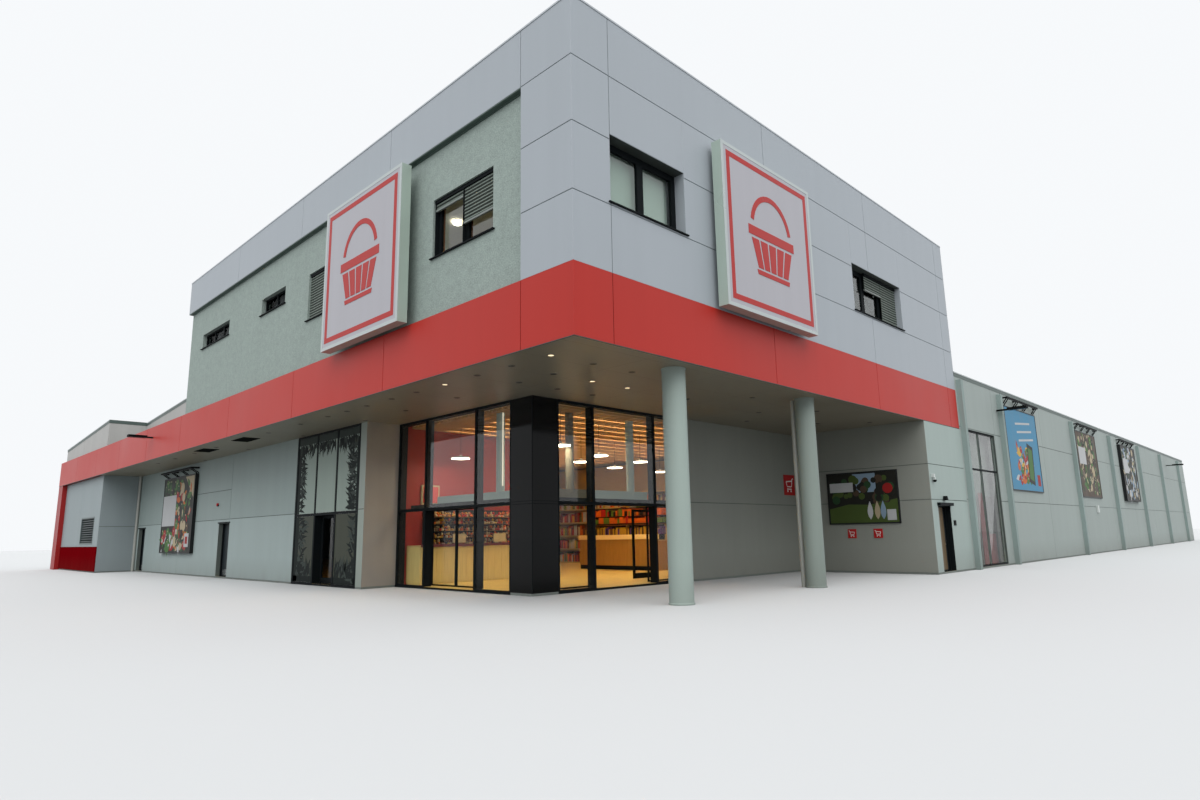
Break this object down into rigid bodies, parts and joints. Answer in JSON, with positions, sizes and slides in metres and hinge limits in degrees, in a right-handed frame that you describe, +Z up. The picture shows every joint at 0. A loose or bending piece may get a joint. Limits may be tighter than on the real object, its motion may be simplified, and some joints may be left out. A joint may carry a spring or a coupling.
{
  "type": "supermarket building, 1:2 scale model",
  "caption": "Low supermarket hall with a clad two-storey corner block on a red canopy, glazed corner entrance, hinged and sliding doors.",
  "frame": {"origin": "centre of the bounding box at ground level, on the underside of the floor slab", "axes": "+Z up; the front with the long red fascia faces -Y; the side with the open entrance faces +X"},
  "size_m": [24.58, 39.285, 6.14],
  "materials": {
    "floor": "tiled floor",
    "concrete_wall": "smooth concrete panel",
    "roof": "roof membrane",
    "dark_trim": "satin",
    "dark_frame": "satin anthracite",
    "red_panel": "satin red",
    "louvre": "satin",
    "soffit_panel": "satin",
    "structure": "raw concrete",
    "stucco": "fine render",
    "cladding": "satin",
    "metal_trim": "satin",
    "glass": "clear glass",
    "column_paint": "satin",
    "pipe": "satin",
    "black_panel": "gloss black",
    "sign_white": "satin white with a red border",
    "poster": "printed sheet",
    "lamp_metal": "satin",
    "inner_red": "matt",
    "wood": "oak veneer",
    "glazed_leaf": "glass in a dark frame",
    "door_paint": "satin"
  },
  "bodies": {
    "building": {"floor_slab": "floor", "hall_left_wall": "concrete_wall", "hall_rear_wall": "concrete_wall", "hall_right_wall": "concrete_wall", "hall_roof": "roof", "roof_trim": "dark_trim", "pilasters": "concrete_wall", "hall_window": "dark_frame", "recess_wall_lower": "concrete_wall", "recess_wall_upper": "concrete_wall", "wing_wall": "concrete_wall", "wing_side_wall": "concrete_wall", "wing_pier": "red_panel", "wing_louvre": "louvre", "soffit": "soffit_panel", "upper_floor": "structure", "front_fascia": "red_panel", "side_fascia": "red_panel", "front_upper_wall": "stucco", "side_upper_wall": "structure", "left_upper_wall": "cladding", "rear_upper_wall": "cladding", "front_cladding": "cladding", "side_cladding": "cladding", "upper_roof": "roof", "parapet_coping": "metal_trim", "upper_windows": "dark_frame", "upper_glass": "glass", "canopy_columns": "column_paint", "drain_pipes": "pipe", "shopfront_frame": "dark_frame", "front_entrance_frame": "dark_frame", "side_entrance_frame": "dark_frame", "entrance_pier": "cladding", "ground_glass": "glass", "corner_panels": "black_panel", "side_recess_wall": "concrete_wall", "poster_wall": "concrete_wall", "service_wall_lower": "concrete_wall", "service_wall_upper": "concrete_wall", "door_frames": "dark_frame", "sign_boxes": "sign_white", "poster_boards": "poster", "wall_lamps": "lamp_metal", "shop_partition": "inner_red", "counters": "wood", "goods_shelves": "wood", "draught_screen": "glazed_leaf"},
    "front_leaf_left": {"front_leaf_left": "glazed_leaf"},
    "front_leaf_right": {"front_leaf_right": "glazed_leaf"},
    "side_leaf_near": {"side_leaf_near": "glazed_leaf"},
    "side_leaf_far": {"side_leaf_far": "glazed_leaf"},
    "shop_door": {"shop_door": "glazed_leaf"},
    "plant_door": {"plant_door": "door_paint"},
    "wing_door": {"wing_door": "door_paint"},
    "service_door": {"service_door": "door_paint"}
  },
  "joints": [
    {"name": "front_left_slide", "type": "slide", "parent": "building", "child": "front_leaf_left", "axis": [-1, 0, 0], "range_m": [0, 0.6]},
    {"name": "front_right_slide", "type": "slide", "parent": "building", "child": "front_leaf_right", "axis": [1, 0, 0], "range_m": [0, 0.6]},
    {"name": "side_near_slide", "type": "slide", "parent": "building", "child": "side_leaf_near", "axis": [0, 1, 0], "range_m": [0, 0.6]},
    {"name": "side_far_slide", "type": "slide", "parent": "building", "child": "side_leaf_far", "axis": [0, -1, 0], "range_m": [0, 0.6]},
    {"name": "shop_door_hinge", "type": "hinge", "parent": "building", "child": "shop_door", "pos_m": [4.169, -17.9685, 0.6], "axis": [0, 0, 1], "range_deg": [0, 90]},
    {"name": "plant_door_hinge", "type": "hinge", "parent": "building", "child": "plant_door", "pos_m": [-0.456, -17.9885, 0.6], "axis": [0, 0, 1], "range_deg": [0, 90]},
    {"name": "wing_door_hinge", "type": "hinge", "parent": "building", "child": "wing_door", "pos_m": [-6.676, -17.9885, 0.6], "axis": [0, 0, 1], "range_deg": [0, 90]},
    {"name": "service_door_hinge", "type": "hinge", "parent": "building", "child": "service_door", "pos_m": [11.571, -10.7305, 0.6], "axis": [0, 0, 1], "range_deg": [0, 90]}
  ],
  "couplings": [
    {"joint": "front_right_slide", "follows": "front_left_slide", "ratio": 1},
    {"joint": "side_far_slide", "follows": "side_near_slide", "ratio": 1}
  ]
}
